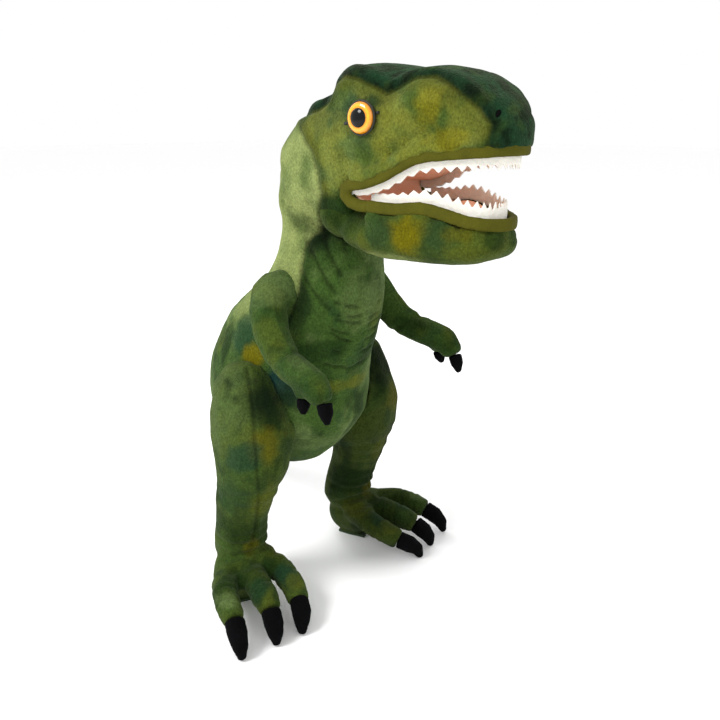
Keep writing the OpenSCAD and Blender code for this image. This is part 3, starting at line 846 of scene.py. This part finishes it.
def make_arm(name, side):
    nodes = ("arm_skin_" + name, "arm_stuffing_" + name)
    shoulder = SHOULDER[name]
    bm = copied(*nodes)
    add_ball(bm, off(shoulder, -10, 0, 0, side), (19, 19, 19))
    arm = fused("arm_plush_" + name, bm, 2.3, 5)
    inflate(arm, points(arm)[:, 0] * side < shoulder.x * side, 2, 1.5)
    subdivided(arm)
    seam = ((14, -16, 6), (20, -28, -10), (24, -46, -25), (28, -62, -34), (32, -80, -44))
    ridge = laid(arm, [off(shoulder, *place, side) for place in seam])
    crease(arm, distance_to_line(points(arm), ridge), 1.4, -0.9, 0)
    elbow = off(shoulder, 16, -42, -42, side)
    ring_crease(arm, elbow, (0, -0.6, -0.8), 20, 2.4, 0.9)
    pile(arm, 13 + side)
    spots = (
        ((10, -8, 8), (20, 20, 18), "sage", 0.65),
        ((26, -24, -26), (12, 18, 16), "olive", 0.35),
        ((10, -46, -44), (12, 18, 12), "deep", 0.7),
        ((26, -76, -62), (20, 24, 12), "deep", 0.5),
        ((34, -70, -38), (10, 26, 8), "sage", 0.4),
    )
    smudges = [(off(shoulder, *place, side), *rest) for place, *rest in spots]
    dye_and_shade(arm, "leaf", "olive", "deep", 41 + side, smudges, even=0.25, depth=0.85)
    finish_skin(arm, plush_material("plush_arm_" + name), nodes)
    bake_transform(arm)


# Offsets in millimetres from the neck's pivot: the leg's front seam from hip to ankle, and each
# toe's knuckle with the direction that the toe points
LEG_SEAM = ((77, 18, -152), (84, 7, -163), (88, -1, -182), (92, -7, -207), (92, -8, -235),
            (86, 0, -268), (81, 12, -301), (84, 10, -326))
TOES = (((124, -10), (0.5, -0.85)), ((94, -12), (0.2, -0.97)), ((62, -14), (0, -1)))
KNUCKLE_Z = -352


def make_leg(name, side):
    nodes = ("leg_skin_" + name, "leg_stuffing_" + name)
    leg = fused("leg_plush_" + name, copied(*nodes, "sole_" + name), 2.7, 3)
    inflate(leg, points(leg)[:, 2] < 8 * MM, 2, 2)
    settle(leg)
    subdivided(leg)
    rings = (
        ((-8, -20, 52), (0, 0.35, 1), 32, 2.2, 1.7),
        ((-8, -16, 62), (0, -0.1, 1), 32, 2.4, 1.2),
        ((-8, -26, 44), (0, 0.55, 1), 30, 2.0, 1.2),
        ((-8, -20, 72), (0, 0.2, 1), 32, 2.2, 0.6),
        ((6, -42, 120), (0, 0.15, 1), 44, 3.2, 0.7),
        ((6, -42, 104), (0, -0.2, 1), 44, 3.0, 0.5),
    )
    # The far thigh is fuller and the near knee slimmer than their mirrored CAD legs
    if side > 0:
        bulge(leg, off(NECK, 96, -34, -226, side), (26, 26, 32), 4)
    else:
        bulge(leg, off(NECK, 46, 10, -262, side), (20, 26, 26), -3)
    front = laid(leg, [off(NECK, *place, side) for place in LEG_SEAM])
    crease(leg, distance_to_line(points(leg), front), 1.5, 1.0)
    for place, axis, reach, width, depth in rings:
        ring_crease(leg, off(FOOT[name], *place, side), axis, reach, width, depth)
    for (x, y), (dx, dy) in TOES:
        for reach in (0, -14):
            knuckle = off(NECK, x + dx * reach, y + dy * reach, KNUCKLE_Z, side)
            ring_crease(leg, knuckle, (dx * side, dy, 0), 13, 1.6, 0.7)
    push(leg, 0.7 * noise_field(points(leg), 24, 51 + side, 2))
    pile(leg, 19 + side)
    # Painted shade darkens the cloth along the leg's front seam
    seams = distance_to_line(points(leg), front)
    spots = (
        ((100, 34, -180), (30, 52, 50), "sage", 0.4),
        ((75, 6, -182), (22, 26, 24), "night", 0.9),
        ((84, -13, -214), (15, 18, 19), "mustard", 0.55),
        ((98, 0, -224), (18, 19, 16), "teal", 0.75),
        ((82, -4, -250), (16, 16, 16), "deep", 0.45),
        ((78, -4, -276), (18, 19, 25), "olive", 0.6),
        ((102, 14, -267), (14, 24, 20), "pine", 0.5),
        ((70, 26, -312), (36, 36, 22), "deep", 0.75),
        ((81, 18, -326), (10, 11, 11), "mustard", 0.4),
        ((58, 14, -342), (15, 18, 10), "olive", 0.6),
        ((92, 0, -348), (44, 26, 18), "deep", 0.6),
        ((133, -9, -342), (12, 13, 12), "sage", 0.75),
        ((104, -14, -342), (14, 13, 12), "pine", 0.75),
        ((70, -16, -344), (15, 15, 12), "teal", 0.75),
        ((66, -26, -350), (9, 9, 9), "olive", 0.5),
    )
    smudges = [(off(NECK, *place, side), *rest) for place, *rest in spots]
    # Painted shade: the far (left) leg, turned away from the light, is dyed deeper than the near one
    depth = 0.85 if side < 0 else 0.55
    dye_and_shade(leg, "moss", "leaf", "deep", 61 + 3 * side, smudges, seams=seams, even=0.15, depth=depth)
    finish_skin(leg, plush_material("plush_leg_" + name), nodes)
    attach(leg, "torso")


def settle(leg):
    """Lets the foot's skin sink round the edge of its sole."""
    co = points(leg)
    co[:, 2] -= 3 * MM * (1 - smooth_step(co[:, 2] / MM, 4, 20))
    co[:, 2] = np.maximum(co[:, 2], 0.7 * MM)
    set_points(leg, co)


def ring_crease(obj, centre, axis, reach_mm, width, depth):
    """A fold that runs round a limb where a plane cuts it, within reach of the centre."""
    co = points(obj)
    axis = Vector(axis).normalized()
    away = co - np.array(centre)
    along = away @ np.array(axis) / MM
    flat = np.linalg.norm(away - np.outer(along * MM, np.array(axis)), axis=1) / MM
    near = 1 - smooth_step(flat, reach_mm, reach_mm + 8)
    profile = -bell(along, width) + 0.4 * bell(np.abs(along) - 2.4 * width, width)
    push(obj, depth * profile * near)


def make_tail():
    bm = copied("tail_skin", "tail_stuffing")
    # The root runs into the body, over the hinge gap
    add_ball(bm, off(TAIL, -10, -16, 8), (25, 24, 27))
    add_ball(bm, off(TAIL, -16, -34, 16), (26, 24, 28))
    tail = fused("tail_plush", bm, 3.6, 5)
    inflate(tail, points(tail)[:, 2] < 3 * MM, 2, 3)
    subdivided(tail)
    push(tail, 0.9 * noise_field(points(tail), 28, 81, 2))
    pile(tail, 23)
    smudges = [(off(TAIL, 40, 60, -50), (40, 40, 40), "moss", 0.4)]
    dye_and_shade(tail, "leaf", "sage", "deep", 91, smudges)
    finish_skin(tail, plush_material("plush_tail"), ("tail_skin", "tail_stuffing"))
    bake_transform(tail)


# ---- Small parts ----------------------------------------------------------------------

def soft_copy(name, node, voxel_mm, smooth, material, body, relief, levels=0):
    """A CAD piece with rounded edges and a cloth surface."""
    obj = add_object(name, copied(node))
    add_modifier(obj, "REMESH", mode="VOXEL", voxel_size=voxel_mm * MM, adaptivity=0)
    add_modifier(obj, "SMOOTH", factor=0.5, iterations=smooth)
    bake_modifiers(obj)
    if levels:
        subdivided(obj, levels)
    shade_smooth(obj)
    push(obj, relief * noise_field(points(obj), 2.5, len(name), 2))
    obj.data.materials.clear()
    obj.data.materials.append(material)
    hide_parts(node)
    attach(obj, body)
    return obj


LATHE_STEPS = 64


def lathe(name, profile, matrix):
    """A turned piece. The profile is radius and height in millimetres, from the axis out."""
    bm = bmesh.new()
    rings = []
    for radius, height in profile:
        if radius == 0:
            rings.append([bm.verts.new((0, 0, height * MM))])
            continue
        ring = []
        for k in range(LATHE_STEPS):
            angle = 2 * math.pi * k / LATHE_STEPS
            place = Vector((radius * math.cos(angle), radius * math.sin(angle), height)) * MM
            ring.append(bm.verts.new(place))
        rings.append(ring)
    for inner, outer in zip(rings[:-1], rings[1:]):
        for k in range(LATHE_STEPS):
            j = (k + 1) % LATHE_STEPS
            if len(inner) == 1:
                bm.faces.new((inner[0], outer[k], outer[j]))
            elif len(outer) == 1:
                bm.faces.new((inner[k], outer[0], inner[j]))
            else:
                bm.faces.new((inner[k], outer[k], outer[j], inner[j]))
    bmesh.ops.recalc_face_normals(bm, faces=bm.faces)
    bm.transform(matrix)
    obj = add_object(name, bm)
    shade_smooth(obj)
    return obj


# The eye's radii and heights in millimetres: its flat middle ends where the round edge begins
FLAT_RADIUS, EDGE_RADIUS = 6.6, 4.6
EYE_HEIGHT, EDGE_DROP = 3.8, 3.0
WASHER_DEPTH_MM = 8.2


def eye_frame(name):
    """A matrix at the eye's base whose Z points out of the face."""
    washer = middle("eye_washer_" + name)
    out = (middle("pupil_" + name) - washer).normalized()
    base = washer + out * WASHER_DEPTH_MM * MM
    return Matrix.Translation(base) @ out.to_track_quat("Z", "Y").to_matrix().to_4x4()


def make_eye(name):
    matrix = eye_frame(name)
    dome = [(0, 3.9), (4, 3.9), (FLAT_RADIUS, EYE_HEIGHT)]
    for degrees in range(12, 91, 13):
        angle = math.radians(degrees)
        radius = FLAT_RADIUS + EDGE_RADIUS * math.sin(angle)
        dome.append((radius, EYE_HEIGHT - EDGE_DROP * (1 - math.cos(angle))))
    dome += [(11.3, -1.5), (0, -1.6)]
    eye = lathe("eye_dome_" + name, dome, matrix)
    eye.data.materials.append(eye_material(matrix))
    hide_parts("eye_" + name)
    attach(eye, "head")
    disc = [(0, 5.9), (2.2, 5.75), (4.2, 5.3), (5.8, 4.6), (6.6, 4.05), (6.8, 3.2), (0, 3.0)]
    pupil = lathe("eye_pupil_" + name, disc, matrix)
    gloss = plain("black_gloss_" + name, (0.002, 0.002, 0.002), 0.1, 300, 0, specular=0.22)
    pupil.data.materials.append(gloss)
    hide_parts("pupil_" + name)
    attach(pupil, "head")
    # A dark ring round the eye's edge: painted shade where the eye sits in its socket
    shadow_ring_profile = [(10.6, -1.5), (12.2, -1.2), (12.6, 0.0), (12.1, 0.9), (11.2, 1.0), (10.8, 0.2)]
    rim = lathe("eye_shadow_ring_" + name, shadow_ring_profile, matrix)
    rim.data.materials.append(plain("painted_shadow_ring_" + name, linear(22, 24, 8), 0.6, 500, 0.1))
    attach(rim, "head")


def eye_material(matrix):
    """Amber plastic, darker at the edge and round the pupil, with fine streaks."""
    material, tree, shader = new_material("amber_plastic")
    where = tree.nodes.new("ShaderNodeTexCoord").outputs["Object"]
    away = tree.nodes.new("ShaderNodeVectorMath")
    away.operation = "DISTANCE"
    tree.links.new(where, away.inputs[0])
    away.inputs[1].default_value = matrix.translation
    ramp = tree.nodes.new("ShaderNodeValToRGB")
    ramp.color_ramp.elements[0].position = 0.0
    ramp.color_ramp.elements[0].color = (*linear(120, 60, 4), 1)
    ramp.color_ramp.elements[1].position = 1.0
    ramp.color_ramp.elements[1].color = (*linear(120, 62, 6), 1)
    for position, colour in ((0.25, (206, 128, 4)), (0.55, (240, 172, 24)), (0.85, (214, 132, 6))):
        step = ramp.color_ramp.elements.new(position)
        step.color = (*linear(*colour), 1)
    ring = ranged(tree, away.outputs["Value"], 0, 1, (6.6 * MM, 11.6 * MM))
    tree.links.new(ring, ramp.inputs["Fac"])
    streaks = noise_node(tree, where, 700, 2)
    streaked = scaled_colour(tree, ramp.outputs["Color"], ranged(tree, streaks, 0.86, 1.1))
    tree.links.new(streaked, shader.inputs["Base Color"])
    tree.links.new(ranged(tree, streaks, 0.22, 0.12), shader.inputs["Roughness"])
    shader.inputs["Coat Weight"].default_value = 0.4
    shader.inputs["Coat Roughness"].default_value = 0.03
    return material


def thread(name, line, radius_mm, material, body):
    """A round thread along a line of points."""
    curve = bpy.data.curves.new(name, "CURVE")
    curve.dimensions = "3D"
    curve.bevel_depth = radius_mm * MM
    curve.bevel_resolution = 2
    curve.use_fill_caps = True
    spline = curve.splines.new("POLY")
    spline.points.add(len(line) - 1)
    for k, p in enumerate(line):
        spline.points[k].co = (*p, 1)
    drawn = bpy.data.objects.new(name, curve)
    scene.collection.objects.link(drawn)
    obj = baked_curve(drawn)
    obj.data.materials.append(material)
    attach(obj, body)


def baked_curve(drawn):
    """A mesh object in the curve's place, with the curve's name."""
    graph = bpy.context.evaluated_depsgraph_get()
    mesh = bpy.data.meshes.new_from_object(drawn.evaluated_get(graph))
    name = drawn.name
    bpy.data.objects.remove(drawn)
    made = bpy.data.objects.new(name, mesh)
    scene.collection.objects.link(made)
    return made


# The stitches at each eye's corners, as offsets in millimetres from the eye
STITCHES = (("rear", (0, 11, -3), (0, 17, -4)), ("front", (0, -11, 3), (0, -14, 3.5)))
STITCH_POINTS = 6


def make_face(trunk):
    """Eyes with their stitches, and the nostril patches, laid on the head's skin."""
    tree = BVHTree.FromObject(trunk, bpy.context.evaluated_depsgraph_get())
    black = plain("thread_black", (0.006, 0.006, 0.006), 0.6, 900, 0.2)
    for name, side in SIDES:
        make_eye(name)
        for tag, start, end in STITCHES:
            line = []
            for k in range(STITCH_POINTS):
                t = k / (STITCH_POINTS - 1)
                p = off(EYE[name], *(a + (b - a) * t for a, b in zip(start, end)), side)
                hit, normal, _, _ = tree.find_nearest(p)
                line.append(hit + normal * 0.5 * MM)
            thread(f"eye_stitch_{tag}_{name}", line, 1.0, black, "head")
    make_nostrils(tree)


def make_nostrils(tree):
    bm = bmesh.new()
    for _, side in SIDES:
        hit, normal, _, _ = tree.find_nearest(nostril_place(side))
        turn = normal.to_track_quat("X", "Z").to_matrix().to_4x4()
        place = Matrix.Translation(hit - normal * 0.2 * MM) @ turn @ Matrix.Rotation(0.5 * side, 4, "X")
        place = place @ Matrix.Diagonal((0.9, 2.0, 3.2, 1))
        bmesh.ops.create_icosphere(bm, subdivisions=3, radius=MM, matrix=place)
    nostrils = add_object("nostril_patches", bm)
    shade_smooth(nostrils)
    push(nostrils, 0.15 * noise_field(points(nostrils), 1.5, 4, 2))
    cloth = plain("nostril_cloth", (0.002, 0.0025, 0.002), 0.95, 900, 0.3, specular=0.05)
    nostrils.data.materials.append(cloth)
    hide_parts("nostrils")
    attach(nostrils, "head")


def make_mouth():
    lip = plain("lip_cloth", linear(72, 71, 9), 0.85, 1400, 0.35, specular=0.15, spread=0.12)
    felt = plain("tooth_felt", (0.8, 0.77, 0.7), 0.9, 1500, 0.5, spread=0.05, sheen=0.2,
                 subsurface=0.1)
    rose = plain("mouth_cloth", (1.0, 0.6, 0.42), 0.85, 1300, 0.3, specular=0.1, spread=0.05)
    soft_copy("upper_lip_band", "upper_lip", 1.3, 16, lip, "head", 0.15, 1)
    soft_copy("lower_lip_band", "lower_lip", 1.3, 16, lip, "jaw", 0.15, 1)
    soft_copy("upper_teeth_felt", "upper_teeth", 0.6, 2, felt, "head", 0.25)
    soft_copy("lower_teeth_felt", "lower_teeth", 0.6, 2, felt, "jaw", 0.25)
    # The linings run under the felt strips' edges
    palate = soft_copy("palate_cloth", "palate_lining", 1.2, 3, rose, "head", 0.2)
    palate.data.transform(Matrix.Translation((0, 0, -1.2 * MM)) @ Matrix.Diagonal((1.1, 1, 1, 1)))
    bed = soft_copy("mouth_floor_cloth", "mouth_floor_lining", 1.2, 3, rose, "jaw", 0.2)
    bed.data.transform(Matrix.Translation((0, 0, 1.2 * MM)) @ Matrix.Diagonal((1.05, 1, 1, 1)))
    for name, side in SIDES:
        make_lip_corner(name, side, lip)
    make_mouth_back(rose)


# Offsets in millimetres from the jaw's pivot
LIP_TURN = ((44.5, -8, 5), (45, -3, 4), (45, 2, 1), (44.5, 3, -4), (43.5, -2, -9), (42.5, -9, -11),
            (41.5, -20, -11.5))


def make_lip_corner(name, side, material):
    """The end of the lip band, which turns from the upper lip down into the lower one."""
    bm = bmesh.new()
    path = [Vector(place) for place in LIP_TURN]
    for a, b in zip(path[:-1], path[1:]):
        for step in range(3):
            p = a.lerp(b, step / 3)
            add_ball(bm, off(JAW, *p, side), (3.6, 5, 5))
    corner = fused("lip_corner_" + name, bm, 1.2, 4)
    subdivided(corner)
    push(corner, 0.15 * noise_field(points(corner), 2.5, 5, 2))
    corner.data.materials.append(material)
    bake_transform(corner)


def make_mouth_back(material):
    """The back of the mouth's lining, from the palate round to the floor of the mouth."""
    bm = bmesh.new()
    bmesh.ops.create_grid(bm, x_segments=24, y_segments=12, size=1)
    for vert in bm.verts:
        u, v = vert.co.x, (vert.co.y + 1) / 2
        half = 42 - 5 * v
        bow = 8 * math.sin(math.pi * v) * (1 - 0.25 * u * u)
        wave = 0.8 * math.sin(5 * u + 2 * v)
        vert.co = off(JAW, half * u, -2 - 13 * v + bow + wave, 7 - 19 * v)
    back = add_object("mouth_back_cloth", bm)
    add_modifier(back, "SOLIDIFY", thickness=1.2 * MM, offset=0)
    bake_modifiers(back)
    shade_smooth(back)
    back.data.materials.append(material)
    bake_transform(back)


def make_claws():
    velour = plain("claw_velour", (0.0018, 0.0018, 0.0022), 0.95, 1200, 0.5, specular=0.05, spread=0.3)
    for name, _ in SIDES:
        hand, foot = "hand_claws_" + name, "foot_claws_" + name
        soft_copy("hand_claws_velour_" + name, hand, 1.0, 4, velour, "arm_" + name, 0.2, 1)
        soft_copy("foot_claws_velour_" + name, foot, 1.2, 4, velour, "torso", 0.25, 1)


def make_hidden():
    """Finishes for the CAD pieces that stay as they are, and the label."""
    washer = plain("washer_plastic", (0.8, 0.8, 0.78), 0.4, 300, 0.1)
    cloth = plain("pellet_cloth", (0.62, 0.58, 0.5), 0.9, 800, 0.5)
    sole = plain("sole_cloth", linear(32, 52, 22), 0.9, 700, 0.6, sheen=0.1, spread=0.25)
    satin = plain("label_satin", (0.62, 0.6, 0.55), 0.35, 1500, 0.3, sheen=0.4, stretch=(1, 1, 0.2))
    for name, _ in SIDES:
        for node, material in (("eye_washer_", washer), ("pellet_bag_", cloth), ("sole_", sole)):
            data = frame["nodes"][node + name].data
            data.materials.clear()
            data.materials.append(material)
    make_label(satin)


def make_label(material):
    """The blank care label: a satin strip that hangs beside the tail's root."""
    low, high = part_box("care_label")
    bm = bmesh.new()
    bmesh.ops.create_grid(bm, x_segments=8, y_segments=24, size=0.5)
    width, length = 22 * MM, 38 * MM
    centre = (low + high) / 2
    for vert in bm.verts:
        u, v = vert.co.x, vert.co.y + 0.5
        curl = 2.2 * MM * math.sin(math.pi * (1 - v)) + 1.2 * MM * u * (1 - v)
        vert.co = (u * width, curl, v * length)
    hung = Matrix.Translation((centre.x, centre.y, low.z)) @ Matrix.Rotation(math.radians(12), 4, "Z")
    bm.transform(hung)
    label = add_object("care_label_satin", bm)
    add_modifier(label, "SOLIDIFY", thickness=0.3 * MM, offset=0)
    bake_modifiers(label)
    shade_smooth(label)
    label.data.materials.append(material)
    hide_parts("care_label")
    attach(label, "torso")


make_stage()
make_camera()
trunk_skin = make_trunk()
make_jaw()
for arm_name, arm_side in SIDES:
    make_arm(arm_name, arm_side)
    make_leg(arm_name, arm_side)
make_tail()
make_face(trunk_skin)
make_mouth()
make_claws()
make_hidden()
